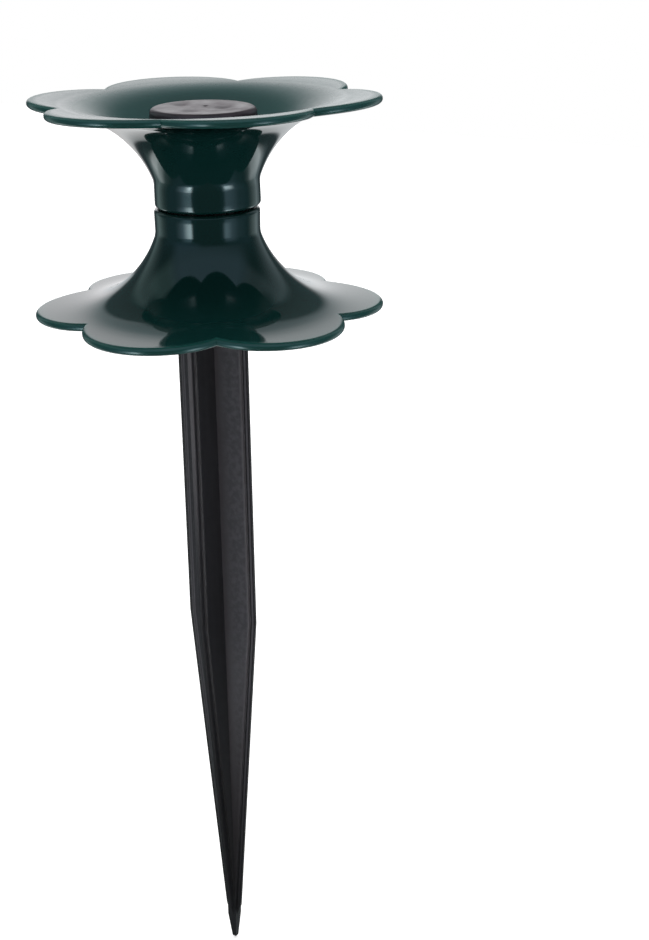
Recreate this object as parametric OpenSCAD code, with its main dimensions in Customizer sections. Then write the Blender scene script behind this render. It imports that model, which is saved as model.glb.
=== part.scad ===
// Garden hose guide: two flower-shaped rollers turn on the round post of a four-finned ground spike.
// The frame has its origin on the axis at the ground line, +Z up and +X along one fin of the spike.

/* [Overall] */
// Height from the tip of the spike to the rim of the upper flower
overall_h = 250; // [230:1:300]
// Diameter over two opposite petal tips
flower_d = 90; // [84:1:110]
// Height of the lower flower's underside over the ground line
ground_gap = 15; // [5:1:40]

/* [Flower rollers] */
// Petals round each flower
petals = 6; // [5:1:8]
// Depth of the notches between the petals
notch_depth = 7.9; // [6:0.1:9]
// Height of one flower from its rim to its neck end
flower_h = 27.35; // [25:0.05:34]
// Wall thickness of the trumpet and its petals
flower_wall = 2; // [1.6:0.1:2.4]
// Wall thickness of the neck
neck_wall = 2.2; // [1.8:0.05:2.6]
// Length of the straight band at the neck end
neck_band = 6.65; // [4:0.05:8]
// Rounding of the neck's end
neck_round = 1; // [0.4:0.1:1.4]
// Least length of the bearing bore in the neck
bore_len = 13.35; // [11:0.05:18]
// Radius of the blend from the trumpet into the flat petals
toe_r = 12; // [8:0.5:14]
// Slope of the trumpet where that blend starts, in degrees
toe_slope = 21; // [14:1:24]
// Turn of the lower flower at rest, in degrees
lower_turn = 36.2; // [0:0.1:60]
// Turn of the upper flower at rest, in degrees
upper_turn = 19.3; // [0:0.1:60]

/* [Post and cap] */
// Diameter of the post that the flowers turn on
post_d = 22.4; // [21:0.1:24]
// Wall thickness of the hollow post
post_wall = 2.7; // [2:0.1:4]
// Bevel round the top of the post
post_bevel = 0.8; // [0.4:0.1:1.2]
// How far the collar stands out from the post
collar_rim = 2.3; // [1.6:0.1:2.8]
// Thickness of the collar
collar_h = 2.5; // [2:0.1:4]
// Wall thickness of the cap's skirt
cap_wall = 2.5; // [2:0.1:3]
// Thickness of the cap's top
cap_top = 2.5; // [2:0.1:3.5]
// Rounding of the cap's top edge
cap_round = 1.5; // [0.8:0.1:2]
// Depth of the cap's top below the upper rim
cap_sink = 2.8; // [1:0.1:4]

/* [Spike] */
// Width of the spike over two opposite fins
fin_span = 21.7; // [18:0.1:22]
// Thickness of a fin
fin_t = 2.8; // [2.4:0.1:3.4]
// Width of the rib along a fin's edge
rib_w = 1.2; // [0.8:0.1:1.8]
// Height of that rib over the fin's edge
rib_h = 1.4; // [0.8:0.1:1.8]
// Height over the tip where the fins start to narrow
taper_h = 107; // [90:1:140]
// Height over the tip where the ribs start to run out
point_h = 12; // [11:0.5:16]
// Width over the ribs where they start to run out
point_span = 4.9; // [4.4:0.1:6]
// Height of the four-sided point
tip_h = 8.5; // [7:0.25:10]
// Radius of the blunt tip
tip_r = 0.65; // [0.4:0.05:0.9]

/* [Fits] */
// Radial clearance between a neck and the post
run_clearance = 0.1; // [0.05:0.01:0.1]
// Gap between the two necks
neck_gap = 0.5; // [0.3:0.05:0.8]
// Play between the cap's skirt and the upper flower
cap_play = 0.3; // [0.2:0.05:0.5]
// Least room round the cap and the collar inside the trumpets
cap_room = 0.5; // [0.3:0.05:0.8]
// How much tighter the cap's skirt is than the post, on the radius
cap_grip = 0.05; // [0.02:0.01:0.08]

/* [Hidden] */
$fn = 96;
// Steps along one stretch of a trumpet's curve, and round a small edge
curve_steps = 20;
edge_steps = 6;
// How far a cut runs past the face that it opens
overrun = 1;

green = [0.035, 0.125, 0.115];
black = [0.07, 0.07, 0.075];

// Radii of the running fit, the neck, the collar and the cap, all set out from the post
post_r = post_d / 2;
bore_r = post_r + run_clearance;
neck_r = bore_r + neck_wall;
collar_r = post_r + collar_rim;
cap_r = post_r + cap_wall;

// Petal outline: arcs that meet in sharp notches, each arc as far out as the petal tips
petal_tip_r = flower_d / 2;
notch_r = petal_tip_r - notch_depth;
petal_angle = 360 / petals;
petal_centre =
    (petal_tip_r * petal_tip_r - notch_r * notch_r)
    / (2 * (petal_tip_r - notch_r * cos(petal_angle / 2)));
petal_r = petal_tip_r - petal_centre;
rim_r = flower_wall / 2;

// Radius of the notches on the flat faces, where the rounded rim starts
notch_face_r =
    petal_centre * cos(petal_angle / 2)
    + sqrt(pow(petal_r - rim_r, 2) - pow(petal_centre * sin(petal_angle / 2), 2));

// How far inside those notches the trumpet has run out flat, and how far its flat edge laps the petals
notch_land = 0.3;
edge_lap = notch_land / 2;

// Trumpet curve, with heights counted from the hose side of the rim towards the neck end.
// A small toe arc runs out flat just inside the notches. The long arc starts where the toe arc has
// the toe slope and passes through the crease at the foot of the neck band.
flat_r = notch_face_r - notch_land;
neck_end = flower_h - flower_wall;
crease_h = neck_end - neck_band;
reach = flat_r - neck_r;
drop = toe_r - crease_h;
arc_step =
    (reach * reach + drop * drop - toe_r * toe_r)
    / (2 * (toe_r - reach * sin(toe_slope) - drop * cos(toe_slope)));
arc_r = toe_r + arc_step;
arc_x = flat_r + arc_step * sin(toe_slope);
arc_y = toe_r + arc_step * cos(toe_slope);
crease_slope = asin((arc_x - neck_r) / arc_r);

// Boss round the bore inside the trumpet: deep enough for the bore, and where the trumpet has room
// for the cap and the collar
room_slope = asin((arc_x - max(cap_r, collar_r) - cap_room) / (arc_r + flower_wall));
room_h = arc_y - (arc_r + flower_wall) * cos(room_slope);
boss_h = min(neck_end - bore_len, room_h);
boss_slope = acos((arc_y - boss_h) / (arc_r + flower_wall));

// Heights of the stack over the ground line
lower_rim_z = ground_gap + flower_wall;
top_z = ground_gap + 2 * flower_h + neck_gap;
upper_rim_z = top_z - flower_wall;
collar_z = lower_rim_z + boss_h;
cap_z = upper_rim_z - boss_h + cap_play;
cap_top_z = top_z - cap_sink;
post_top_z = cap_top_z - cap_top;
tip_z = top_z - overall_h;

// Half widths of the spike at its levels
fin_half = fin_span / 2;
point_half = point_span / 2;
core_half = fin_t / 2;
web_half = fin_half - rib_h;
fin_root_z = collar_z - collar_h / 2;
taper_z = tip_z + taper_h;
fin_slope = (fin_half - point_half) / (taper_h - point_h);
core_z = taper_z - (web_half - core_half) / fin_slope;

// Points on an arc round (x, y), after its first point
function arc_after(x, y, r, from, to, steps) = [
    for (i = [1 : steps])
        let (a = from + (to - from) * i / steps)
        [x + r * cos(a), y + r * sin(a)]
];

// Trumpet surface at a distance under its hose side, from the flat petals up to the given slope
function trumpet_curve(under, slope) = concat(
    [[flat_r, -under]],
    arc_after(flat_r, toe_r, toe_r + under, 270, 270 - toe_slope, edge_steps),
    arc_after(arc_x, arc_y, arc_r + under, 270 - toe_slope, 270 - slope, curve_steps)
);

function reversed(points) = [for (i = [len(points) - 1 : -1 : 0]) points[i]];

function both_sides(half) = concat(half, reversed([for (p = half) [-p[0], p[1]]]));

// Half outline of the spike over its ribs, from the collar down to the blunt tip
function spike_half() =
    let (
        rise = tip_h - tip_r,
        lean = atan2(core_half, rise) + acos(tip_r / norm([core_half, rise]))
    )
    concat(
        [
            [fin_half, fin_root_z],
            [fin_half, taper_z],
            [point_half, tip_z + point_h],
            [core_half, tip_z + tip_h],
            [tip_r * sin(lean), tip_z + tip_r + tip_r * cos(lean)]
        ],
        arc_after(0, tip_z + tip_r, tip_r, 90 - lean, -90, edge_steps)
    );

// Half outline of the fins without their ribs, down to the square core of the spike
function web_points() = [
    [web_half, fin_root_z],
    [web_half, taper_z],
    [core_half, core_z],
    [core_half, tip_z]
];

// Upright plate of the given outline, standing across X
module plate(outline, thickness) {
    rotate([90, 0, 0])
        linear_extrude(thickness, center = true)
            polygon(outline);
}

// Solid of revolution from the bore out to the start of the petals
module trumpet() {
    hose_side = trumpet_curve(0, crease_slope);
    underside = trumpet_curve(flower_wall, boss_slope);
    neck_edge = arc_after(neck_r - neck_round, neck_end - neck_round, neck_round, 0, 90, edge_steps);
    rotate_extrude()
        polygon(concat(
            [[bore_r, boss_h]],
            reversed(underside),
            [
                [flat_r + edge_lap, -flower_wall],
                [flat_r + edge_lap, 0]
            ],
            hose_side,
            [[neck_r, neck_end - neck_round]],
            neck_edge,
            [[bore_r, neck_end]]
        ));
}

// One petal as a disc with a fully rounded edge
module petal() {
    rotate_extrude() {
        translate([0, -flower_wall])
            square([petal_r - rim_r, flower_wall]);
        translate([petal_r - rim_r, -rim_r])
            intersection() {
                circle(rim_r);
                translate([0, -rim_r])
                    square([rim_r, flower_wall]);
            }
    }
}

// Flat flower-shaped brim outside the trumpet
module brim() {
    difference() {
        for (i = [0 : petals - 1])
            rotate([0, 0, i * petal_angle])
                translate([petal_centre, 0, 0])
                    petal();
        translate([0, 0, -flower_wall - overrun])
            cylinder(r = flat_r, h = flower_wall + 2 * overrun);
    }
}

module flower() {
    trumpet();
    brim();
}

module blade() {
    outline = both_sides(spike_half());
    web = both_sides(web_points());
    intersection() {
        for (turn = [0, 90])
            rotate([0, 0, turn]) {
                plate(web, fin_t);
                plate(outline, rib_w);
            }
        plate(outline, fin_span);
        rotate([0, 0, 90])
            plate(outline, fin_span);
    }
}

module post() {
    straight_h = post_top_z - post_bevel - collar_z;
    translate([0, 0, collar_z - collar_h])
        cylinder(r = collar_r, h = collar_h);
    difference() {
        union() {
            translate([0, 0, collar_z])
                cylinder(r = post_r, h = straight_h);
            translate([0, 0, collar_z + straight_h])
                cylinder(r1 = post_r, r2 = post_r - post_bevel, h = post_bevel);
        }
        translate([0, 0, collar_z])
            cylinder(r = post_r - post_wall, h = straight_h + post_bevel + overrun);
    }
}

module ground_spike() {
    color(black) {
        blade();
        post();
    }
}

module lower_flower() {
    color(green)
        translate([0, 0, lower_rim_z])
            rotate([0, 0, lower_turn])
                flower();
}

module upper_flower() {
    color(green)
        translate([0, 0, upper_rim_z])
            rotate([0, 0, upper_turn])
                mirror([0, 0, 1])
                    flower();
}

module top_cap() {
    grip_r = post_r - cap_grip;
    top_edge = arc_after(cap_r - cap_round, cap_top_z - cap_round, cap_round, 0, 90, edge_steps);
    color(black)
        rotate_extrude()
            polygon(concat(
                [
                    [0, post_top_z],
                    [grip_r, post_top_z],
                    [grip_r, cap_z],
                    [cap_r, cap_z],
                    [cap_r, cap_top_z - cap_round]
                ],
                top_edge,
                [[0, cap_top_z]]
            ));
}

ground_spike();
lower_flower();
upper_flower();
top_cap();
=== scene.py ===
import math

import bmesh
import bpy
from mathutils import Matrix, Vector


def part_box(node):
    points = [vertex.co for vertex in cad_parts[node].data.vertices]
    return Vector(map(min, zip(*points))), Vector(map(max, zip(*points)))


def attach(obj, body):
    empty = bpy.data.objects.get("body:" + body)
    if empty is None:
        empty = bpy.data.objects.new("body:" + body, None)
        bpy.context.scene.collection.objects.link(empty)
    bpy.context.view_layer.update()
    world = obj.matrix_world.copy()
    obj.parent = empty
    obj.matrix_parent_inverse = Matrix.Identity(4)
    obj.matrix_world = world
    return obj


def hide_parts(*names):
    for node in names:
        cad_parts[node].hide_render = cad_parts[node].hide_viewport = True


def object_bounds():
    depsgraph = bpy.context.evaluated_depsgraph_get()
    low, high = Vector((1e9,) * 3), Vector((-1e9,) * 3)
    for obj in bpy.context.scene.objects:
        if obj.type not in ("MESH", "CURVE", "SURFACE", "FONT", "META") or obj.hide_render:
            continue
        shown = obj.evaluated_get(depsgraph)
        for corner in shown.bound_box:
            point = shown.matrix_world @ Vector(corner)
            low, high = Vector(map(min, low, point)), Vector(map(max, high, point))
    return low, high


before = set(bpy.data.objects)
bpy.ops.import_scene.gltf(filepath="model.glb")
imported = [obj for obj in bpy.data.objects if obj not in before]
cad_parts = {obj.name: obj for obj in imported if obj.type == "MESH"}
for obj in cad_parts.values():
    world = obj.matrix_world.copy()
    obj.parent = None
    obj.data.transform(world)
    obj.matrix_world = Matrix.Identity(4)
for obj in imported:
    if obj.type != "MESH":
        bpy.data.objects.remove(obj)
cadLow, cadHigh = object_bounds()
print("frame loaded:", ", ".join(sorted(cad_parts)))

mm = 0.001
tiny = 1e-6               # metres, for merging doubled points
noiseSpan = (0.3, 0.7)    # most values of a noise texture lie between these
plasticIor = 1.5


# Helpers for node trees, shared by the shapes, the finishes and the studio
def addNode(tree, kind, settings=None, **inputs):
    made = tree.nodes.new(kind)
    for name, value in (settings or {}).items():
        setattr(made, name, value)
    for name, value in inputs.items():
        wire(tree, value, openSocket(made, name.replace("_", " ")))
    return made


def openSocket(node, name):
    return next(s for s in node.inputs if s.name == name and s.enabled)


def wire(tree, value, socket):
    if isinstance(value, bpy.types.NodeSocket):
        tree.links.new(value, socket)
    else:
        socket.default_value = value


def calc(tree, operation, *values):
    made = tree.nodes.new("ShaderNodeMath")
    made.operation = operation
    for socket, value in zip(made.inputs, values):
        wire(tree, value, socket)
    return made.outputs[0]


def ramp(tree, value, low, high, kind="SMOOTHSTEP", start=0.0, end=1.0):
    made = addNode(tree, "ShaderNodeMapRange", {"interpolation_type": kind}, Value=value,
                   From_Min=low, From_Max=high, To_Min=start, To_Max=end)
    return made.outputs[0]


def blendColour(tree, factor, first, second):
    made = tree.nodes.new("ShaderNodeMix")
    made.data_type = "RGBA"
    wire(tree, factor, made.inputs[0])
    wire(tree, first, made.inputs[6])
    wire(tree, second, made.inputs[7])
    return made.outputs[2]


def newFinish(name):
    finish = bpy.data.materials.new(name)
    finish.use_nodes = True
    tree = finish.node_tree
    surface = tree.nodes["Principled BSDF"]
    place = addNode(tree, "ShaderNodeTexCoord").outputs["Object"]
    return finish, tree, surface, place


def noise(tree, place, scale, detail=2.0, rough=0.5):
    made = addNode(tree, "ShaderNodeTexNoise", Vector=place, Scale=scale, Detail=detail, Roughness=rough)
    return made.outputs[0]


# Gloss green of the two flowers, satin on the funnel side, with painted light: paler on the funnel side and a
# little paler along the rim
greenLook = {
    "deep": (0.0042, 0.0305, 0.0285, 1), "fresh": (0.0054, 0.0365, 0.0335, 1), "driftScale": 45,
    "satinPaintedLight": (0.0085, 0.0575, 0.053, 1), "satinSheen": 0.38,
    "rimPaintedLight": (0.0095, 0.062, 0.055, 1), "edgeSheen": 0.1,
    "sheenLow": 0.045, "sheenHigh": 0.075, "sheenScale": 700,
    "peelScale": 320, "peelDepth": 0.004 * mm,
}


def petalGreen():
    look = greenLook
    finish, tree, surface, place = newFinish("petalGreen")
    # Both are stored on the mesh: satin is 1 on the funnel side, and edge is 1 along the rim
    satin, edge = (addNode(tree, "ShaderNodeAttribute", {"attribute_name": name}).outputs["Fac"]
                   for name in ("satin", "edge"))
    drift = noise(tree, place, look["driftScale"], detail=3)
    green = blendColour(tree, drift, look["deep"], look["fresh"])
    # Painted light: paler on the funnel side
    green = blendColour(tree, satin, green, look["satinPaintedLight"])
    # Painted light: a little paler along the rim
    wire(tree, blendColour(tree, edge, green, look["rimPaintedLight"]), surface.inputs["Base Color"])
    grain = noise(tree, place, look["sheenScale"])
    gloss = ramp(tree, grain, *noiseSpan, "LINEAR", look["sheenLow"], look["sheenHigh"])
    gloss = calc(tree, "MULTIPLY_ADD", edge, look["edgeSheen"], gloss)
    gloss = calc(tree, "MULTIPLY_ADD", satin, look["satinSheen"], gloss)
    wire(tree, gloss, surface.inputs["Roughness"])
    peel = noise(tree, place, look["peelScale"])
    bump = addNode(tree, "ShaderNodeBump", Height=peel, Distance=look["peelDepth"])
    wire(tree, bump.outputs[0], surface.inputs["Normal"])
    surface.inputs["IOR"].default_value = plasticIor
    return finish


# Satin black of the spike: mottled, with fine drag marks, painted light and shade on the fin faces and along
# the ribs, and painted shade towards the lower end, which is darker and less glossy.
# Places are in millimetres. ribHighlightHeights, tipShadeHeights and taperFrom are heights, others go out from the axis.
spikeLook = {
    "dark": (0.013, 0.0122, 0.0137, 1), "worn": (0.027, 0.0252, 0.028, 1), "tipShade": (0.013, 0.0125, 0.0132, 1),
    "face": (0.046, 0.0435, 0.0485, 1), "facePaintedLight": (0.084, 0.079, 0.0885, 1),
    "corner": (0.085, 0.08, 0.089, 1), "shaded": (0.02, 0.0188, 0.0212, 1), "paintedHighlight": (0.12, 0.113, 0.121, 1),
    "dragScale": 900, "dragStretch": 0.02, "dragSpan": (0.4, 0.7), "dragShare": 0.4,
    "mottleScale": 620, "blotchSpan": (0.36, 0.66), "blotchShare": 0.6, "grainScale": 2600,
    "taperFrom": -72.8, "taperSlope": 0.0884, "finSplit": (-0.1, 0.1), "faceDepth": (-0.55, -0.3),
    "cornerFade": (1.4, 6.0), "ribEdge": (10.45, 10.7), "ribHighlightHeights": (-62, -12),
    "stripeFrom": 9.36, "stripeWide": 0.5, "stripeSoft": (0, 0.1), "stripeTo": (9.5, 9.58), "stripeHighlight": 0.6,
    "shadeLineFrom": (9.58, 9.64), "shadeLineTo": (9.85, 10.0), "shadeGlossCut": -0.8,
    "ribFaceFrom": (10.0, 10.1), "ribFaceTo": (10.4, 10.5), "farFrom": (8.2, 8.3), "farTo": (8.7, 8.8),
    "tipShadeHeights": (-175, -55), "tipShadeLead": 34,
    "sheenLow": 0.5, "sheenHigh": 0.64, "glossLow": 0.12, "glossHigh": 0.5,
    "grainDepth": 0.03 * mm, "dragDepth": 0.02 * mm, "glint": (1, 0.76, 0.72, 1),
}


def spikeBlack():
    look = spikeLook
    finish, tree, surface, place = newFinish("spikeBlack")

    def fade(value, span, start=0.0, end=1.0):
        low, high = (edge * mm for edge in look[span])
        return ramp(tree, value, low, high, start=start, end=end)

    def line(opens, closes):
        return calc(tree, "MULTIPLY", fade(out, opens), fade(out, closes, 1, 0))

    drawn = addNode(tree, "ShaderNodeMapping", Vector=place)
    drawn.inputs["Scale"].default_value = (1, 1, look["dragStretch"])
    drag = noise(tree, drawn.outputs[0], look["dragScale"], detail=4, rough=0.6)
    mottle = noise(tree, place, look["mottleScale"], detail=3, rough=0.6)
    grain = noise(tree, place, look["grainScale"])
    blotch = ramp(tree, mottle, *look["blotchSpan"])
    marks = calc(tree, "MULTIPLY", ramp(tree, drag, *look["dragSpan"]), look["dragShare"])
    wear = calc(tree, "MULTIPLY_ADD", blotch, look["blotchShare"], marks)

    # Distance out along a fin, counted as if there were no taper, so that lines follow the fin's edge
    axes = addNode(tree, "ShaderNodeSeparateXYZ", Vector=place).outputs
    absX, absY = calc(tree, "ABSOLUTE", axes["X"]), calc(tree, "ABSOLUTE", axes["Y"])
    below = calc(tree, "MAXIMUM", calc(tree, "SUBTRACT", look["taperFrom"] * mm, axes["Z"]), 0)
    out = calc(tree, "MULTIPLY_ADD", below, look["taperSlope"], calc(tree, "MAXIMUM", absX, absY))

    # The two fins along X, their faces towards -Y painted paler as lit faces, and the one of those on the -X
    # side, which gets painted shade
    onX = fade(calc(tree, "SUBTRACT", absX, absY), "finSplit")
    paintedLitFaces = calc(tree, "MULTIPLY", onX, fade(axes["Y"], "faceDepth", 1, 0))
    far = calc(tree, "MULTIPLY", paintedLitFaces, calc(tree, "LESS_THAN", axes["X"], 0))

    # Painted highlight on the rib ends of the fins along Y and along the step edges
    ribEnd = fade(out, "ribEdge")
    rib = calc(tree, "MULTIPLY", ribEnd, fade(axes["Z"], "ribHighlightHeights"))
    rib = calc(tree, "MULTIPLY", rib, calc(tree, "SUBTRACT", 1, onX))
    start = calc(tree, "MULTIPLY_ADD", onX, -look["stripeWide"] * mm, look["stripeFrom"] * mm)
    stripe = calc(tree, "MULTIPLY", fade(calc(tree, "SUBTRACT", out, start), "stripeSoft"),
                  fade(out, "stripeTo", 1, 0))
    paintedHighlightMask = calc(tree, "MULTIPLY_ADD", stripe, look["stripeHighlight"], rib)

    # Painted shade beside the ribs and on the rib ends of the fins along X, painted light on the inner
    # corners and rib faces, and a painted highlight line on the far face
    paintedShadeMask = calc(tree, "MULTIPLY", paintedLitFaces, calc(tree, "MAXIMUM", ribEnd, line("shadeLineFrom", "shadeLineTo")))
    inner = fade(absX, "cornerFade", 1, 0)
    paintedLightCorners = calc(tree, "MULTIPLY", paintedLitFaces, calc(tree, "MAXIMUM", inner, line("ribFaceFrom", "ribFaceTo")))
    shaded = blendColour(tree, line("farFrom", "farTo"), look["shaded"], look["corner"])

    # 0 towards the tip, which reaches higher on the fins along Y: painted shade, darker and less glossy there
    lead = calc(tree, "MULTIPLY_ADD", calc(tree, "SUBTRACT", onX, 1), look["tipShadeLead"] * mm, axes["Z"])
    fresh = fade(lead, "tipShadeHeights")

    black = blendColour(tree, wear, look["dark"], look["worn"])
    # Painted light: the faces towards -Y of the fins along X are paler, as lit faces
    black = blendColour(tree, paintedLitFaces, black, blendColour(tree, blotch, look["face"], look["facePaintedLight"]))
    # Painted light on the inner corners and rib faces
    black = blendColour(tree, paintedLightCorners, black, look["corner"])
    # Painted shade on the far face, with a painted highlight line on it
    black = blendColour(tree, far, black, shaded)
    # Painted shade beside the ribs and on the rib ends of the fins along X
    black = blendColour(tree, paintedShadeMask, black, look["dark"])
    # Painted highlight on the rib ends and step edges
    black = blendColour(tree, paintedHighlightMask, black, look["paintedHighlight"])
    # Painted shade towards the tip
    wire(tree, blendColour(tree, fresh, look["tipShade"], black), surface.inputs["Base Color"])
    sheen = ramp(tree, mottle, *noiseSpan, "LINEAR", look["sheenLow"], look["sheenHigh"])
    wire(tree, sheen, surface.inputs["Roughness"])
    gloss = ramp(tree, fresh, 0, 1, "LINEAR", look["glossLow"], look["glossHigh"])
    # Less gloss in the painted shade beside the ribs
    gloss = calc(tree, "MULTIPLY", gloss, calc(tree, "MULTIPLY_ADD", paintedShadeMask, look["shadeGlossCut"], 1))
    wire(tree, gloss, surface.inputs["Specular IOR Level"])
    grained = addNode(tree, "ShaderNodeBump", Height=grain, Distance=look["grainDepth"]).outputs[0]
    bump = addNode(tree, "ShaderNodeBump", Height=drag, Distance=look["dragDepth"], Normal=grained)
    wire(tree, bump.outputs[0], surface.inputs["Normal"])
    surface.inputs["IOR"].default_value = plasticIor
    surface.inputs["Specular Tint"].default_value = look["glint"]
    return finish


# Satin black of the cap, cloudy and a little purple
capLook = {
    "dark": (0.018, 0.0105, 0.0142, 1), "pale": (0.037, 0.0235, 0.0295, 1),
    "cloudScale": 190, "cloudSpan": (0.35, 0.65), "sheenLow": 0.3, "sheenHigh": 0.46,
    "grainScale": 2200, "grainDepth": 0.014 * mm, "glint": (1, 0.9, 0.95, 1),
}


def capBlack():
    look = capLook
    finish, tree, surface, place = newFinish("capBlack")
    cloud = noise(tree, place, look["cloudScale"], detail=4, rough=0.6)
    grain = noise(tree, place, look["grainScale"])
    black = blendColour(tree, ramp(tree, cloud, *look["cloudSpan"]), look["dark"], look["pale"])
    wire(tree, black, surface.inputs["Base Color"])
    sheen = ramp(tree, cloud, *noiseSpan, "LINEAR", look["sheenLow"], look["sheenHigh"])
    wire(tree, sheen, surface.inputs["Roughness"])
    bump = addNode(tree, "ShaderNodeBump", Height=grain, Distance=look["grainDepth"])
    wire(tree, bump.outputs[0], surface.inputs["Normal"])
    surface.inputs["IOR"].default_value = plasticIor
    surface.inputs["Specular Tint"].default_value = look["glint"]
    return finish


finishes = {"petal_green": petalGreen(), "spike_black": spikeBlack(), "cap_black": capBlack()}
print("finishes made:", len(finishes))


# Flower rollers: one closed section swept round the axis, with the rim let out to the petals.
# Heights count from the petal tips on the hose side towards the neck end, in millimetres.
flowerSize = {
    "petals": 6, "columnsPerPetal": 48,
    "tipRadius": 45.0, "notchDepth": 7.9, "notchLand": 0.3, "wall": 2.0,
    "boreRadius": 11.6, "boreLength": 13.0, "neckRadius": 13.5, "neckBand": 6.65, "neckDraft": 0.6,
    "neckRound": 1.0, "neckTrim": 0.06, "partingDepth": 0.05,
    "tipSlope": 3.5, "flareSlope": 31.8, "dishSpan": 20.0, "dishPower": 2.8,
    "creaseBlend": 1.1, "rimSupport": 0.25, "crispAngle": 28,
    "dishSteps": 16, "rimSteps": 16, "funnelSteps": 16, "flareSteps": 24, "creaseSteps": 12, "bandSteps": 4,
    "neckSteps": 8, "petalShares": (0.2, 0.4, 0.6, 0.8, 1), "rimSatin": 0.4, "satinRows": 40,
    "lowerTurn": 36.2, "upperTurn": 19.3,
}

# Both sit a little loose on the post. A lean lowers the side that it is towards, about the pivot's height.
flowerSit = {
    "lower": {"towards": 0.0, "lean": 0.0, "pivot": 17.0, "drop": 0.2},
    "upper": {"towards": 231.0, "lean": 0.68, "pivot": 69.2, "drop": 0.42},
}


def petalShape(size):
    half = math.pi / size["petals"]
    tip = size["tipRadius"]
    notch = tip - size["notchDepth"]
    centre = (tip ** 2 - notch ** 2) / (2 * (tip - notch * math.cos(half)))
    radius = tip - centre
    across = centre * math.sin(half)
    face = centre * math.cos(half) + math.sqrt((radius - size["wall"] / 2) ** 2 - across ** 2)
    return centre, radius, face - size["notchLand"]


# The petals are dished: their slope, as a tangent, grows from the tip towards the flare
def dishRise(size):
    start = math.tan(math.radians(size["tipSlope"]))
    return start, math.tan(math.radians(size["flareSlope"])) - start


def dishPoint(size, radius):
    start, rise = dishRise(size)
    span, power = size["dishSpan"], size["dishPower"]
    share = (size["tipRadius"] - radius) / span
    height = span * (start * share + rise * share ** (power + 1) / (power + 1))
    return height, math.atan(start + rise * share ** power)


def arcRows(x, y, radius, start, end, steps):
    angles = [start + (end - start) * i / steps for i in range(steps + 1)]
    return [(x - radius * math.sin(a), y - radius * math.cos(a), 0, 0) for a in angles]


# Point on a rounded corner, from start at 0 to end at 1
def bendPoint(start, corner, end, t):
    return start * (1 - t) ** 2 + corner * 2 * t * (1 - t) + end * t ** 2


# Each row is radius, height, radius of the petal arc there and share of the petal outline in it
def flowerRows(size, height):
    wall, bore, neck, roundR = size["wall"], size["boreRadius"], size["neckRadius"], size["neckRound"]
    rim = wall / 2
    centre, petal, flat = petalShape(size)
    neckEnd = height - wall
    crease = neckEnd - size["neckBand"]
    waist = neck - size["neckBand"] * math.tan(math.radians(size["neckDraft"]))
    boss = neckEnd - size["boreLength"]
    joint = size["tipRadius"] - size["dishSpan"]
    jointHeight, jointSlope = dishPoint(size, joint)
    chord = math.atan2(crease - jointHeight, joint - waist)
    creaseSlope = 2 * chord - jointSlope
    arcR = math.hypot(crease - jointHeight, joint - waist) / (2 * math.sin((creaseSlope - jointSlope) / 2))
    arcX, arcY = joint + arcR * math.sin(jointSlope), jointHeight + arcR * math.cos(jointSlope)
    bossSlope = math.acos((arcY - boss) / (arcR + wall))
    blend = size["creaseBlend"]
    face = petal - rim
    support = face - size["rimSupport"]

    dish = []
    for i in range(size["dishSteps"] + 1):
        radius = flat + (joint - flat) * i / size["dishSteps"]
        dish.append((radius,) + dishPoint(size, radius))
    # The funnel side is square to the dish at the flare and straight below it under the petals
    under = []
    for i, (r, h, slope) in enumerate(dish):
        t = i / size["dishSteps"]
        square = t ** 2 * (3 - 2 * t)
        inset, depth = wall * math.sin(slope) * square, wall * (1 - (1 - math.cos(slope)) * square)
        under.insert(0, (r - inset, h - depth, 0, 0))

    # Funnel side, from the bore out to the rim
    rows = [(bore, boss, 0, 0)]
    rows += arcRows(arcX, arcY, arcR + wall, bossSlope, jointSlope, size["funnelSteps"])
    funnelEnd = len(rows)
    rows += under[1:]
    petalEnd = len(rows)
    rows += [(flat, -wall, support, share) for share in size["petalShares"]]
    rimFirst = len(rows) - 1
    for i in range(size["rimSteps"] + 1):
        turn = math.radians(-90 + 180 * i / size["rimSteps"])
        parting = size["partingDepth"] if 2 * i == size["rimSteps"] else 0
        rows.append((flat, -rim + rim * math.sin(turn), face + rim * math.cos(turn) - parting, 1))
    rimLast = len(rows)

    # Hose side, from the rim in to the neck
    rows += [(flat, 0, support, share) for share in reversed(size["petalShares"])]
    rows += [(r, h, 0, 0) for r, h, slope in dish]
    flare = arcRows(arcX, arcY, arcR, jointSlope, creaseSlope - blend / arcR, size["flareSteps"])
    rows += flare[1:]
    end = neckEnd - size["neckTrim"]
    foot, corner, last = Vector(flare[-1][:2]), Vector((waist, crease)), Vector((neck, end - roundR))
    top = corner + (last - corner).normalized() * blend
    for i in range(1, size["creaseSteps"] + 1):
        spot = bendPoint(foot, corner, top, i / size["creaseSteps"])
        rows.append((spot.x, spot.y, 0, 0))
    for i in range(1, size["bandSteps"] + 1):
        spot = top.lerp(last, i / size["bandSteps"])
        rows.append((spot.x, spot.y, 0, 0))
    for i in range(1, size["neckSteps"] + 1):
        turn = math.radians(90 * i / size["neckSteps"])
        rows.append((neck - roundR + roundR * math.cos(turn), last.y + roundR * math.sin(turn), 0, 0))
    rows.append((bore, end, 0, 0))

    # Satin, and its painted light, on the funnel side, fading under the petals and round the rim to the
    # polished hose side
    satin = []
    for i in range(len(rows)):
        faded = (i - funnelEnd + 1) / (petalEnd - funnelEnd)
        if i < petalEnd:
            satin.append(1 - (1 - size["rimSatin"]) * max(faded, 0))
        else:
            satin.append(max(size["rimSatin"] - (i - rimFirst) / size["satinRows"], 0))
    edge = [float(rimFirst <= i <= rimLast) for i in range(len(rows))]
    return rows, centre, satin, edge


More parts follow.
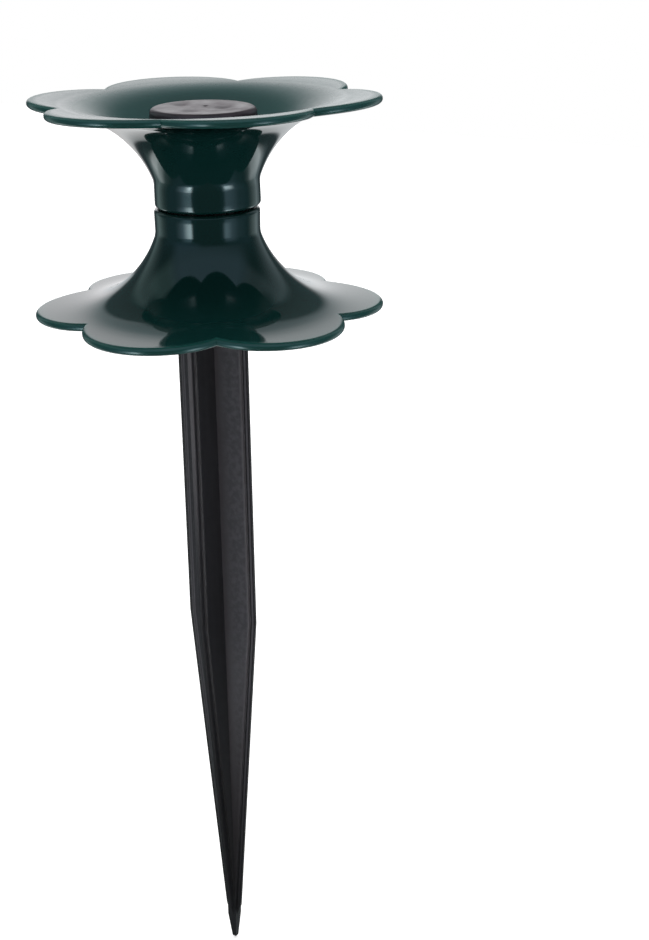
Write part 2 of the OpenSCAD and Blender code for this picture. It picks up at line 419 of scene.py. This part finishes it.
def flowerTree():
    tree = bpy.data.node_groups.new("petalTrumpet", "GeometryNodeTree")
    face = tree.interface
    face.new_socket("Section", in_out="INPUT", socket_type="NodeSocketGeometry")
    for kind, names in (
        ("Int", ("Petals", "Columns")),
        ("Float", ("Petal centre", "Tip radius", "Dish span", "Dish start", "Dish rise", "Dish power",
                   "Rim plane", "Side", "Turn", "Crisp angle")),
        ("Material", ("Finish",)),
    ):
        for name in names:
            face.new_socket(name, in_out="INPUT", socket_type="NodeSocket" + kind)
    face.new_socket("Flower", in_out="OUTPUT", socket_type="NodeSocketGeometry")
    given = tree.nodes.new("NodeGroupInput").outputs
    result = tree.nodes.new("NodeGroupOutput").inputs

    # A grid with one column of points per step round the axis, each closed on its own first point
    section = given["Section"]
    rowCount = addNode(tree, "GeometryNodeAttributeDomainSize", Geometry=section).outputs["Point Count"]
    ringSize = calc(tree, "ADD", rowCount, 1)
    columns = calc(tree, "MULTIPLY", given["Petals"], given["Columns"])
    columnEnd = calc(tree, "ADD", columns, 1)
    grid = addNode(tree, "GeometryNodeMeshGrid", Vertices_X=columnEnd, Vertices_Y=ringSize)
    index = tree.nodes.new("GeometryNodeInputIndex").outputs[0]
    column = calc(tree, "FLOOR", calc(tree, "DIVIDE", calc(tree, "ADD", index, 0.5), ringSize))
    along = calc(tree, "SUBTRACT", index, calc(tree, "MULTIPLY", column, ringSize))
    row = calc(tree, "MODULO", along, rowCount)

    def sample(value, kind):
        made = addNode(tree, "GeometryNodeSampleIndex", {"data_type": kind}, Geometry=section, Index=row)
        wire(tree, value, openSocket(made, "Value"))
        return next(s for s in made.outputs if s.enabled)

    def named(name):
        made = addNode(tree, "GeometryNodeInputNamedAttribute", {"data_type": "FLOAT"}, Name=name)
        return next(s for s in made.outputs if s.enabled)

    position = sample(tree.nodes.new("GeometryNodeInputPosition").outputs[0], "FLOAT_VECTOR")
    spot = addNode(tree, "ShaderNodeSeparateXYZ", Vector=position).outputs
    arc = sample(named("petalArc"), "FLOAT")
    share = sample(named("petalShare"), "FLOAT")

    # Petal outline: a circle about the petal centre, repeated round the axis
    angle = calc(tree, "MULTIPLY", column, calc(tree, "DIVIDE", math.tau, columns))
    fromTip = calc(tree, "PINGPONG", angle, calc(tree, "DIVIDE", math.pi, given["Petals"]))
    across = calc(tree, "MULTIPLY", given["Petal centre"], calc(tree, "SINE", fromTip))
    out = calc(tree, "SQRT", calc(tree, "SUBTRACT", calc(tree, "MULTIPLY", arc, arc),
                                  calc(tree, "MULTIPLY", across, across)))
    reach = calc(tree, "MULTIPLY_ADD", given["Petal centre"], calc(tree, "COSINE", fromTip), out)
    radius = calc(tree, "MULTIPLY_ADD", calc(tree, "SUBTRACT", reach, spot["X"]), share, spot["X"])

    # Dish of the petals, followed by the rim as well
    inward = calc(tree, "MAXIMUM", calc(tree, "DIVIDE", calc(tree, "SUBTRACT", given["Tip radius"], radius),
                                        given["Dish span"]), 0)
    order = calc(tree, "ADD", given["Dish power"], 1)
    curve = calc(tree, "MULTIPLY", given["Dish rise"], calc(tree, "POWER", inward, order))
    curve = calc(tree, "DIVIDE", curve, order)
    dish = calc(tree, "MULTIPLY_ADD", given["Dish start"], inward, curve)
    dish = calc(tree, "MULTIPLY", given["Dish span"], dish)
    onPetal = calc(tree, "GREATER_THAN", share, 0.01)      # 1 on every row that has a share of the outline
    height = calc(tree, "MULTIPLY_ADD", dish, onPetal, spot["Z"])
    height = calc(tree, "MULTIPLY_ADD", height, given["Side"], given["Rim plane"])

    turned = calc(tree, "ADD", angle, given["Turn"])
    x = calc(tree, "MULTIPLY", radius, calc(tree, "COSINE", turned))
    y = calc(tree, "MULTIPLY", radius, calc(tree, "SINE", turned))
    place = addNode(tree, "ShaderNodeCombineXYZ", X=x, Y=y, Z=height)
    marked = grid
    for name in ("satin", "edge"):
        marked = addNode(tree, "GeometryNodeStoreNamedAttribute", {"data_type": "FLOAT", "domain": "POINT"},
                         Geometry=marked.outputs[0], Name=name, Value=sample(named(name), "FLOAT"))
    swept = addNode(tree, "GeometryNodeSetPosition", Geometry=marked.outputs[0], Position=place.outputs[0])
    closed = addNode(tree, "GeometryNodeMergeByDistance", Geometry=swept.outputs[0], Distance=tiny)
    smooth = addNode(tree, "GeometryNodeSetShadeSmooth", {"domain": "FACE"}, Geometry=closed.outputs[0])
    bend = tree.nodes.new("GeometryNodeInputMeshEdgeAngle").outputs["Unsigned Angle"]
    crisp = addNode(tree, "GeometryNodeSetShadeSmooth", {"domain": "EDGE"}, Geometry=smooth.outputs[0],
                    Selection=calc(tree, "GREATER_THAN", bend, given["Crisp angle"]), Shade_Smooth=False)
    whole = addNode(tree, "GeometryNodeRealizeInstances", Geometry=crisp.outputs[0])
    dressed = addNode(tree, "GeometryNodeSetMaterial", Geometry=whole.outputs[0], Material=given["Finish"])
    tree.links.new(dressed.outputs[0], result["Flower"])
    return tree


def makeFlower(name, tree, node, up, turn):
    size = flowerSize
    low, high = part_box(node)
    rows, centre, satin, edge = flowerRows(size, (high.z - low.z) / mm)
    start, rise = dishRise(size)
    mesh = bpy.data.meshes.new(name)
    mesh.from_pydata([(r * mm, 0, h * mm) for r, h, arc, share in rows], [], [])
    stored = {
        "petalArc": [arc * mm for r, h, arc, share in rows],
        "petalShare": [share for r, h, arc, share in rows],
        "satin": satin, "edge": edge,
    }
    for label, values in stored.items():
        mesh.attributes.new(label, "FLOAT", "POINT").data.foreach_set("value", values)
    flower = bpy.data.objects.new(name, mesh)
    bpy.context.scene.collection.objects.link(flower)
    modifier = flower.modifiers.new("sweep", "NODES")
    modifier.node_group = tree
    given = {
        "Petals": size["petals"], "Columns": size["columnsPerPetal"], "Petal centre": centre * mm,
        "Tip radius": size["tipRadius"] * mm, "Dish span": size["dishSpan"] * mm, "Dish start": start,
        "Dish rise": rise, "Dish power": size["dishPower"],
        "Rim plane": low.z + size["wall"] * mm if up else high.z - size["wall"] * mm,
        "Side": 1.0 if up else -1.0,
        "Turn": math.radians(turn), "Crisp angle": math.radians(size["crispAngle"]),
        "Finish": finishes["petal_green"],
    }
    for item in tree.interface.items_tree:
        if item.in_out == "INPUT" and item.name in given:
            modifier[item.identifier] = given[item.name]
    settle(flower)
    return flower


def sitLoose(flower, sit):
    towards = math.radians(sit["towards"])
    pivot = Matrix.Translation((0, 0, sit["pivot"] * mm))
    lean = Matrix.Rotation(math.radians(sit["lean"]), 4, Vector((-math.sin(towards), math.cos(towards), 0)))
    drop = Matrix.Translation((0, 0, -sit["drop"] * mm))
    flower.data.transform(drop @ pivot @ lean @ pivot.inverted())


def settle(piece):
    view = bpy.context.evaluated_depsgraph_get()
    mesh = bpy.data.meshes.new_from_object(piece.evaluated_get(view))
    piece.modifiers.clear()
    piece.data = mesh
    work = bmesh.new()
    work.from_mesh(mesh)
    bmesh.ops.recalc_face_normals(work, faces=work.faces)
    work.to_mesh(mesh)
    work.free()


petalTrumpet = flowerTree()
lowerFlower = makeFlower("lowerFlower", petalTrumpet, "lower_flower", True, flowerSize["lowerTurn"])
upperFlower = makeFlower("upperFlower", petalTrumpet, "upper_flower", False, flowerSize["upperTurn"])
sitLoose(lowerFlower, flowerSit["lower"])
sitLoose(upperFlower, flowerSit["upper"])
print("flowers swept:", len(lowerFlower.data.polygons), "faces each")


def addMesh(name, points, faces, finish):
    mesh = bpy.data.meshes.new(name)
    mesh.from_pydata([tuple(c * mm for c in p) for p in points], [], faces)
    mesh.materials.append(finish)
    piece = bpy.data.objects.new(name, mesh)
    bpy.context.scene.collection.objects.link(piece)
    work = bmesh.new()
    work.from_mesh(mesh)
    bmesh.ops.remove_doubles(work, verts=work.verts, dist=tiny)
    bmesh.ops.dissolve_degenerate(work, edges=work.edges, dist=tiny)
    bmesh.ops.recalc_face_normals(work, faces=work.faces)
    for face in work.faces:
        face.smooth = True
    work.to_mesh(mesh)
    work.free()
    return piece


# Ground spike: four fins with a stepped rib along each edge, a four-sided point, the collar and the post
spikeSize = {
    "finSpan": 21.7, "finThick": 2.8, "ribWidth": 1.2, "ribHeight": 1.4,
    "taperHeight": 107.0, "pointHeight": 12.0, "pointSpan": 4.9, "tipHeight": 8.5, "tipRadius": 0.65,
    "edgeRound": 0.32, "innerRound": 0.12, "roundSteps": 4, "roundRoom": 0.45,
    "tipSteps": 6, "tipLeast": 0.02,
    "collarRadius": 13.5, "collarHeight": 2.5, "collarFace": 29.0,
    "postRadius": 11.2, "postBore": 8.5, "postBevel": 0.8, "columns": 96, "crispAngle": 50,
}


# Outline across the blade at one height. Corners are x, y and 1 for an outward or -1 for an inward corner.
def bladeSection(size, fin, web):
    core, rib = min(size["finThick"] / 2, fin), min(size["ribWidth"] / 2, fin)
    web = min(max(web, core), fin)
    corners = [(fin, rib, 1), (web, rib, -1), (web, core, 1), (core, core, -1),
               (core, web, 1), (rib, web, -1), (rib, fin, 1)]
    spots = [Vector((fin, -rib))] + [Vector(c[:2]) for c in corners] + [Vector((-rib, fin))]
    ring = []
    for quarter in range(4):
        turned = Matrix.Rotation(quarter * math.pi / 2, 2)
        for i, corner in enumerate(corners):
            before, here, after = spots[i], spots[i + 1], spots[i + 2]
            wanted = size["edgeRound"] if corner[2] > 0 else size["innerRound"]
            room = min((before - here).length, (after - here).length) * size["roundRoom"]
            cut = min(wanted, room)
            start = here + (before - here).normalized() * cut
            end = here + (after - here).normalized() * cut
            for k in range(size["roundSteps"] + 1):
                ring.append(turned @ bendPoint(start, here, end, k / size["roundSteps"]))
    return ring


# Heights above the tip, each with the reach of the fin and of its thicker web there
def bladeLevels(size, tip, root):
    fin, point, core = size["finSpan"] / 2, size["pointSpan"] / 2, size["finThick"] / 2
    web = fin - size["ribHeight"]
    taper, pointTop = size["taperHeight"], size["pointHeight"]
    tipTop, ball = size["tipHeight"], size["tipRadius"]
    slope = (fin - point) / (taper - pointTop)
    coreTop = taper - (web - core) / slope
    rise = tipTop - ball
    lean = math.atan2(core, rise) + math.acos(ball / math.hypot(core, rise))
    levels = [(root - tip, fin, web), (taper, fin, web), (coreTop, fin - slope * (taper - coreTop), core),
              (pointTop, point, core), (tipTop, core, core)]
    for i in range(size["tipSteps"] + 1):
        turn = lean + (math.pi - lean) * i / size["tipSteps"]
        levels.append((ball + ball * math.cos(turn), max(ball * math.sin(turn), size["tipLeast"]), core))
    return levels


def makeSpike():
    size = spikeSize
    low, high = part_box("ground_spike")
    tip, top = low.z / mm, high.z / mm
    root = size["collarFace"] - size["collarHeight"] / 2
    levels = bladeLevels(size, tip, root)
    rings = [(tip + height, bladeSection(size, fin, web)) for height, fin, web in levels]
    points = [(p.x, p.y, z) for z, ring in rings for p in ring]
    faces = []
    around = len(rings[0][1])
    for level in range(len(rings) - 1):
        a, b = level * around, (level + 1) * around
        for i in range(around):
            j = (i + 1) % around
            faces.append((a + i, a + j, b + j, b + i))
    faces.append(tuple(range(around)))
    faces.append(tuple(range(len(points) - around, len(points))))
    collar, post, bore, bevel = (size[k] for k in ("collarRadius", "postRadius", "postBore", "postBevel"))
    seat = size["collarFace"]
    under = seat - size["collarHeight"]
    section = [(0, under), (collar, under), (collar, seat), (post, seat), (post, top - bevel),
               (post - bevel, top), (bore, top), (bore, seat), (0, seat)]
    spin(points, faces, section, size["columns"])
    spike = addMesh("finnedSpike", points, faces, finishes["spike_black"])
    flatten = spike.modifiers.new("flatten", "WEIGHTED_NORMAL")
    flatten.keep_sharp = True
    crispEdges(spike, size["crispAngle"])
    return spike


def spin(points, faces, section, columns):
    start, count = len(points), len(section)
    for c in range(columns):
        turn = math.tau * c / columns
        points += [(r * math.cos(turn), r * math.sin(turn), z) for r, z in section]
    for c in range(columns):
        a, b = start + c * count, start + (c + 1) % columns * count
        faces += [(a + i, b + i, b + i + 1, a + i + 1) for i in range(count - 1)]


def crispEdges(piece, degrees):
    work = bmesh.new()
    work.from_mesh(piece.data)
    for edge in work.edges:
        edge.smooth = not (edge.is_manifold and edge.calc_face_angle() > math.radians(degrees))
    work.to_mesh(piece.data)
    work.free()


finnedSpike = makeSpike()
print("spike built:", len(finnedSpike.data.polygons), "faces")


# Push cap: pressed over the post, with a sunk middle and a gate mark on top
capSize = {
    "skirtBore": 11.15, "topThick": 2.5, "edgeRound": 1.3, "footBevel": 0.25, "draft": 0.3, "crispAngle": 40,
    "columns": 120, "sideSteps": 4, "edgeSteps": 10, "topSteps": 48,
    "press": 0.12, "pressFrom": 1.0, "askew": 0.5, "askewTurn": -55.4,
    "sinkDepth": 0.22, "sinkRadius": 7.0, "waveDepth": 0.1, "waveLength": 9.0, "waveSlant": 0.6,
    "dents": [(5.0, 1.8, 2.4, 0.5), (0.4, -6.6, 2.4, 0.5), (-7.8, 0.2, 2.0, 0.42)],   # x, y, width and depth
    "gateTurn": 113.0, "gateOffset": 3.0, "gateRadius": 0.75, "gateDepth": 0.3, "gateSharp": 2,
}


def capSection(size, radius, foot, top):
    bore, edge, bevel = size["skirtBore"], size["edgeRound"], size["footBevel"]
    ceiling, side = top - size["topThick"], foot + bevel
    section = [(0, ceiling), (bore, ceiling), (bore, foot), (radius - bevel, foot), (radius, side)]
    for i in range(1, size["sideSteps"] + 1):
        section.append((radius, side + (top - edge - side) * i / size["sideSteps"]))
    for i in range(1, size["edgeSteps"] + 1):
        turn = math.radians(90 * i / size["edgeSteps"])
        section.append((radius - edge + edge * math.cos(turn), top - edge + edge * math.sin(turn)))
    for i in range(1, size["topSteps"] + 1):
        section.append(((radius - edge) * (1 - i / size["topSteps"]), top))
    return section


# How far the top face lies below flat at a place: sunk middle, waves, dents and gate mark
def capHollow(size, x, y, away, flatRadius):
    fade = 1 - (away / flatRadius) ** 2
    gate = pointing(size["gateTurn"]) * size["gateOffset"]
    perMm = math.tau / size["waveLength"]
    wave = math.sin(perMm * (x + size["waveSlant"] * y)) * math.cos(perMm * y)
    hollow = size["sinkDepth"] * math.exp(-(away / size["sinkRadius"]) ** 2)
    hollow += size["waveDepth"] * (1 + wave) / 2
    for dentX, dentY, wide, deep in size["dents"]:
        hollow += deep * math.exp(-((x - dentX) ** 2 + (y - dentY) ** 2) / wide ** 2)
    mark = (Vector((x, y)) - gate).length / size["gateRadius"]
    return hollow * fade + size["gateDepth"] * math.exp(-size["gateSharp"] * mark ** 2)


def pointing(degrees):
    return Vector((math.cos(math.radians(degrees)), math.sin(math.radians(degrees))))


def makeCap():
    size = capSize
    low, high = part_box("top_cap")
    radius, foot, top = high.x / mm, low.z / mm, high.z / mm
    edge = size["edgeRound"]
    points, faces = [], []
    spin(points, faces, capSection(size, radius, foot, top), size["columns"])
    down = pointing(size["askewTurn"])
    shaped = []
    for x, y, z in points:
        away = math.hypot(x, y)
        flat = away < radius - edge and z > top - size["topThick"] / 2
        if away > radius - 2 * edge:
            x, y = (c * (1 - size["draft"] / radius * (z - foot) / (top - foot)) for c in (x, y))
        if z > foot + size["pressFrom"]:
            z -= size["press"] + size["askew"] * (1 + Vector((x, y)).dot(down) / radius) / 2
        if flat:
            z -= capHollow(size, x, y, away, radius - edge)
        shaped.append((x, y, z))
    cap = addMesh("pushCap", shaped, faces, finishes["cap_black"])
    crispEdges(cap, size["crispAngle"])
    return cap


pushCap = makeCap()
print("cap built:", len(pushCap.data.polygons), "faces")

for piece, body, node, slot in (
    (lowerFlower, "lower_roller", "lower_flower", "petal_green"),
    (upperFlower, "upper_roller", "upper_flower", "petal_green"),
    (finnedSpike, "stake", "ground_spike", "spike_black"),
    (pushCap, "stake", "top_cap", "cap_black"),
):
    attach(piece, body)
    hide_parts(node)
print("pieces ride on their bodies")


# Camera, at the photograph's place. Azimuth turns round the stake, and yaw, pitch and roll aim from there.
cameraSetup = {
    "azimuth": 34.6, "distance": 399.2, "height": 117.67,
    "pitch": 20.318, "yaw": 4.155, "roll": -0.8, "lens": 60.2, "sensor": 36.0, "clip": (10, 20000),
}


def placeCamera():
    setup = cameraSetup
    data = bpy.data.cameras.new("photoCamera")
    data.lens, data.sensor_width, data.sensor_fit = setup["lens"], setup["sensor"], "AUTO"
    data.clip_start, data.clip_end = (limit * mm for limit in setup["clip"])
    camera = bpy.data.objects.new("photoCamera", data)
    bpy.context.scene.collection.objects.link(camera)
    swing = math.radians(setup["azimuth"])
    place = Vector((math.sin(swing), -math.cos(swing), 0)) * setup["distance"] * mm
    place.z = setup["height"] * mm
    heading = Matrix.Rotation(math.radians(setup["azimuth"] - setup["yaw"]), 4, "Z")
    tilt = Matrix.Rotation(math.radians(90 - setup["pitch"]), 4, "X")
    roll = Matrix.Rotation(math.radians(setup["roll"]), 4, "Z")
    camera.matrix_world = Matrix.Translation(place) @ heading @ tilt @ roll
    bpy.context.scene.camera = camera


placeCamera()


# Studio: a white wall behind, a lit table, a dim room in front and a soft lamp low on each side of it.
# Directions are degrees round the stake from the camera's side, and degrees above the horizon.
# Lean slants a panel's sides and rise slants its top and bottom edges.
studio = {
    "turn": 34.6, "room": (0.07, 0.096, 0.105),
    "fillFront": 0.26, "fillBack": 0.85, "backSpan": (90, 140),
    "fillTop": 3.2, "topSpan": (52, 68), "fillTable": 0.8, "tableSpan": (-25, 8),
    "panels": [
        # white wall behind, brightest at table height
        {"side": -1, "round": (160.5, 230), "roundSoft": (2, 1), "lean": -0.08,
         "up": (-15, 41), "upSoft": (0.8, 3), "rise": (0.9, 0), "light": (0.42, 0.48, 0.5)},
        {"side": -1, "round": (159.5, 230), "roundSoft": (8, 1), "lean": -0.45,
         "up": (-11, 26), "upSoft": (7, 7), "rise": (0.85, 0), "light": (0.85, 0.75, 0.75)},
        {"side": 1, "round": (164.5, 230), "roundSoft": (2.5, 1), "lean": -0.08,
         "up": (-15, 44), "upSoft": (0.8, 3), "rise": (0.9, 0), "light": (0.38, 0.42, 0.44)},
        {"side": 1, "round": (162, 230), "roundSoft": (8, 1), "lean": -0.45,
         "up": (-10, 27), "upSoft": (8.5, 8), "rise": (0.55, 0), "light": (0.9, 0.85, 0.85)},
        # the gap beside it
        {"side": 0, "round": (144, 168), "roundSoft": (2, 2.5), "lean": 0.03,
         "up": (26, 130), "upSoft": (21, 1), "light": (0.09, 0.08, 0.08)},
        # table behind
        {"side": -1, "round": (163, 230), "roundSoft": (6, 1), "lean": -0.1,
         "up": (-90, -8.5), "upSoft": (1, 2.5), "rise": (0, -0.2), "light": (0.65, 0.6, 0.6)},
        {"side": -1, "round": (166.5, 230), "roundSoft": (1.5, 1), "lean": -0.26,
         "up": (-90, -20.5), "upSoft": (1, 9), "light": (0.65, 0.7, 0.7)},
        {"side": 1, "round": (166.5, 230), "roundSoft": (1.5, 1), "lean": -0.17,
         "up": (-90, -8.5), "upSoft": (1, 1.5), "rise": (0, -0.2), "light": (0.7, 0.7, 0.7)},
        {"side": 1, "round": (165, 230), "roundSoft": (2, 1), "lean": -0.16,
         "up": (-90, -21.5), "upSoft": (1, 10.5), "light": (0.55, 0.58, 0.6)},
        # table at the sides
        {"side": -1, "round": (108, 135), "roundSoft": (16, 3), "lean": -0.07,
         "up": (-90, -6.5), "upSoft": (1, 5.5), "light": (0.27, 0.38, 0.37)},
        {"side": -1, "round": (119.5, 142), "roundSoft": (7.5, 5.5), "lean": -0.07,
         "up": (-90, -29.5), "upSoft": (1, 3.5), "light": (1.05, 1.15, 1.15)},
        {"side": -1, "round": (130.5, 142), "roundSoft": (3, 3), "lean": -0.08,
         "up": (-90, -34.5), "upSoft": (1, 2.5), "light": (0.7, 0.75, 0.75)},
        {"side": 1, "round": (103.5, 133.5), "roundSoft": (11.5, 3), "lean": 0.12,
         "up": (-90, -5.5), "upSoft": (1, 7), "light": (0.41, 0.52, 0.52)},
        {"side": 1, "round": (113.5, 139.5), "roundSoft": (6.5, 5.5), "lean": 0.04,
         "up": (-90, -29.5), "upSoft": (1, 5.5), "light": (1.02, 1.1, 1.12)},
        {"side": 1, "round": (128, 139.5), "roundSoft": (5, 2.5), "lean": -0.02,
         "up": (-90, -36.5), "upSoft": (1, 3), "light": (0.34, 0.36, 0.37)},
        # side walls
        {"side": -1, "round": (123, 143), "roundSoft": (17.5, 5.5), "lean": 0.08,
         "up": (-35.5, 48), "upSoft": (10, 4), "light": (0.28, 0.4, 0.39)},
        {"side": 1, "round": (122, 144), "roundSoft": (18, 5), "lean": 0.08,
         "up": (-37, 48.5), "upSoft": (10, 6), "light": (0.32, 0.4, 0.43)},
        {"side": -1, "round": (82, 124), "roundSoft": (10.5, 10), "lean": 0.08,
         "up": (32, 56), "upSoft": (7.5, 3), "light": (0.23, 0.38, 0.36)},
        {"side": 1, "round": (84.5, 123), "roundSoft": (10, 10.5), "lean": 0.11,
         "up": (38.5, 57.5), "upSoft": (6, 3), "light": (0.18, 0.23, 0.25)},
        # dim front of the room, with a bluish window light high up
        {"side": 0, "round": (-10, 83), "roundSoft": (1, 17.5), "lean": 0.1,
         "up": (26.5, 130), "upSoft": (17.5, 1), "light": (0.3, 0.46, 0.6)},
        {"side": -1, "round": (21, 76.5), "roundSoft": (12, 12.5),
         "up": (5.5, 29.5), "upSoft": (8.5, 8.5), "light": (0.1, 0.17, 0.26)},
        {"side": 0, "round": (33.5, 101), "roundSoft": (8.5, 17.5), "lean": -0.34,
         "up": (-60, 17.5), "upSoft": (1, 12), "light": (0.05, 0.1, 0.15)},
        {"side": 1, "round": (58.5, 86.5), "roundSoft": (8, 12), "lean": -0.3,
         "up": (-60, -9), "upSoft": (5, 8), "light": (0.11, 0.16, 0.19)},
        # left lamp: face, heart, glow and tail
        {"side": -1, "round": (34.5, 48), "roundSoft": (4, 9),
         "up": (-36, -11.5), "upSoft": (2.5, 2), "light": (5.1, 6.4, 6.6)},
        {"side": -1, "round": (39, 43), "roundSoft": (3, 8.5), "lean": -0.03,
         "up": (-34, -23), "upSoft": (3.5, 6), "light": (7.5, 9, 9.4)},
        {"side": -1, "round": (35.5, 53.5), "roundSoft": (2, 12),
         "up": (-42.5, 2), "upSoft": (5, 8), "light": (0.6, 1, 1.2)},
        {"side": -1, "round": (49.5, 65), "roundSoft": (6, 12), "lean": 0.02,
         "up": (-36, -12), "upSoft": (6, 5.5), "light": (0.9, 1.25, 1.5)},
        # right lamp: face, heart and glow
        {"side": 1, "round": (34, 48.5), "roundSoft": (4.5, 8.5),
         "up": (-41.5, -11), "upSoft": (5, 3), "light": (0.85, 1.25, 1.4)},
        {"side": 1, "round": (38.5, 56.5), "roundSoft": (4, 8.5),
         "up": (-34, -19.5), "upSoft": (4, 7.5), "light": (5.3, 6.5, 6.7)},
        {"side": 1, "round": (36, 60), "roundSoft": (4, 13.5), "lean": 0.1,
         "up": (-44, 2.5), "upSoft": (4.5, 9), "light": (0.4, 0.6, 0.75)},
    ],
}


def lightStudio():
    setup = studio
    world = bpy.data.worlds.new("studio")
    bpy.context.scene.world = world
    world.use_nodes = True
    tree = world.node_tree
    tree.nodes.clear()
    sight = addNode(tree, "ShaderNodeTexCoord").outputs["Generated"]
    turned = addNode(tree, "ShaderNodeVectorRotate", {"rotation_type": "Z_AXIS"}, Vector=sight,
                     Angle=math.radians(-setup["turn"]))
    axes = addNode(tree, "ShaderNodeSeparateXYZ", Vector=turned.outputs[0]).outputs
    signed = calc(tree, "DEGREES", calc(tree, "ARCTAN2", axes["X"], calc(tree, "MULTIPLY", axes["Y"], -1)))
    around = calc(tree, "ABSOLUTE", signed)
    above = calc(tree, "DEGREES", calc(tree, "ARCSINE", axes["Z"]))
    fromBack = calc(tree, "SUBTRACT", 180, around)

    def window(first, last, limits, soft):
        opens = ramp(tree, first, limits[0] - soft[0], limits[0] + soft[0])
        closes = ramp(tree, last, limits[1] - soft[1], limits[1] + soft[1], start=1, end=0)
        return calc(tree, "MULTIPLY", opens, closes)

    # What glossy surfaces see
    pattern = setup["room"]
    for panel in setup["panels"]:
        spread = around if panel["side"] == 0 else calc(tree, "MULTIPLY", signed, panel["side"])
        spread = calc(tree, "MULTIPLY_ADD", above, panel.get("lean", 0), spread)
        slants = panel.get("rise", (0, 0))
        foot, head = (calc(tree, "MULTIPLY_ADD", fromBack, -slant, above) for slant in slants)
        shape = calc(tree, "MULTIPLY", window(spread, spread, panel["round"], panel["roundSoft"]),
                     window(foot, head, panel["up"], panel["upSoft"]))
        lit = addNode(tree, "ShaderNodeVectorMath", {"operation": "MULTIPLY_ADD"})
        for socket, value in zip(lit.inputs, (shape, panel["light"], pattern)):
            wire(tree, value, socket)
        pattern = lit.outputs[0]

    # What lights the matt part of a colour: plain and soft, brightest from right above
    fill = ramp(tree, around, *setup["backSpan"], start=setup["fillFront"], end=setup["fillBack"])
    for level, share in ((setup["fillTop"], ramp(tree, above, *setup["topSpan"])),
                         (setup["fillTable"], ramp(tree, above, *setup["tableSpan"], start=1, end=0))):
        fill = calc(tree, "MULTIPLY_ADD", calc(tree, "SUBTRACT", level, fill), share, fill)

    path = addNode(tree, "ShaderNodeLightPath").outputs
    seen = calc(tree, "MAXIMUM", path["Is Camera Ray"], path["Is Transmission Ray"])
    colour = blendColour(tree, path["Is Glossy Ray"], fill, pattern)
    colour = blendColour(tree, seen, colour, (1, 1, 1, 1))
    glow = addNode(tree, "ShaderNodeBackground", Color=colour, Strength=1)
    out = tree.nodes.new("ShaderNodeOutputWorld")
    tree.links.new(glow.outputs[0], out.inputs["Surface"])


lightStudio()


# Floor: white where it is seen, with a soft shadow kept in it
floorSetup = {"size": 3000, "drop": 0.3, "white": 0.85, "glow": 0.46}


def layFloor():
    setup = floorSetup
    half = setup["size"] / 2 * mm
    level = cadLow.z - setup["drop"] * mm
    corners = [(-half, -half, level), (half, -half, level), (half, half, level), (-half, half, level)]
    mesh = bpy.data.meshes.new("floor")
    mesh.from_pydata(corners, [], [(0, 1, 2, 3)])
    floor = bpy.data.objects.new("floor", mesh)
    bpy.context.scene.collection.objects.link(floor)
    finish, tree, surface, _ = newFinish("floorWhite")
    surface.inputs["Base Color"].default_value = (setup["white"], setup["white"], setup["white"], 1)
    surface.inputs["Roughness"].default_value = 1
    surface.inputs["Specular IOR Level"].default_value = 0
    path = addNode(tree, "ShaderNodeLightPath").outputs
    seen = calc(tree, "MAXIMUM", path["Is Camera Ray"], path["Is Transmission Ray"])
    surface.inputs["Emission Color"].default_value = (1, 1, 1, 1)
    wire(tree, calc(tree, "MULTIPLY", seen, setup["glow"]), surface.inputs["Emission Strength"])
    mesh.materials.append(finish)
    floor.visible_glossy = floor.visible_diffuse = False   # the studio's own table lights the stake


layFloor()
bpy.context.scene.view_settings.view_transform = "Standard"
print("camera, studio and floor set")
